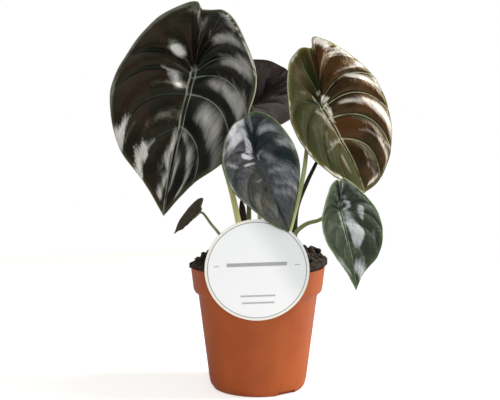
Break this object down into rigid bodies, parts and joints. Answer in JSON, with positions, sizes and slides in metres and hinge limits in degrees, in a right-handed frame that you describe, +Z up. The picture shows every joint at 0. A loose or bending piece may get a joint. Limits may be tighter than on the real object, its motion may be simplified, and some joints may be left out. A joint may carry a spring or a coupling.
{
  "type": "potted alocasia",
  "caption": "Potted jewel alocasia: quilted, shield-shaped leaves with sunken veins on slim stalks, standing in dark soil in a tapered round nursery pot with a round label hooked on its rim.",
  "frame": {"origin": "centre of the pot's flat underside, where the pot stands", "axes": "+Z up through the pot and the leaves, -Y towards the side that carries the round label, +X to the label's right"},
  "size_m": [0.2511, 0.1746, 0.3402],
  "materials": {
    "dark_leaf": "satin",
    "copper_leaf": "satin",
    "blue_leaf": "satin",
    "green_leaf": "satin",
    "purple_leaf": "satin",
    "young_leaf": "satin",
    "leaf_stalk": "satin",
    "dry_sheath": "matte",
    "withered_stalk": "matte",
    "potting_soil": "matte",
    "pot": "matte",
    "plant_label": "gloss"
  },
  "bodies": {
    "root": {"leaf_left_blade": "dark_leaf", "leaf_left_stalk": "leaf_stalk", "leaf_copper_blade": "copper_leaf", "leaf_copper_stalk": "leaf_stalk", "leaf_front_blade": "blue_leaf", "leaf_front_stalk": "leaf_stalk", "leaf_right_blade": "green_leaf", "leaf_right_stalk": "leaf_stalk", "leaf_back_blade": "purple_leaf", "leaf_back_stalk": "leaf_stalk", "leaf_young_blade": "young_leaf", "leaf_young_stalk": "leaf_stalk", "bud_sheath": "dry_sheath", "withered_stalk": "withered_stalk", "potting_soil": "potting_soil", "pot": "pot", "plant_label": "plant_label"}
  },
  "joints": []
}
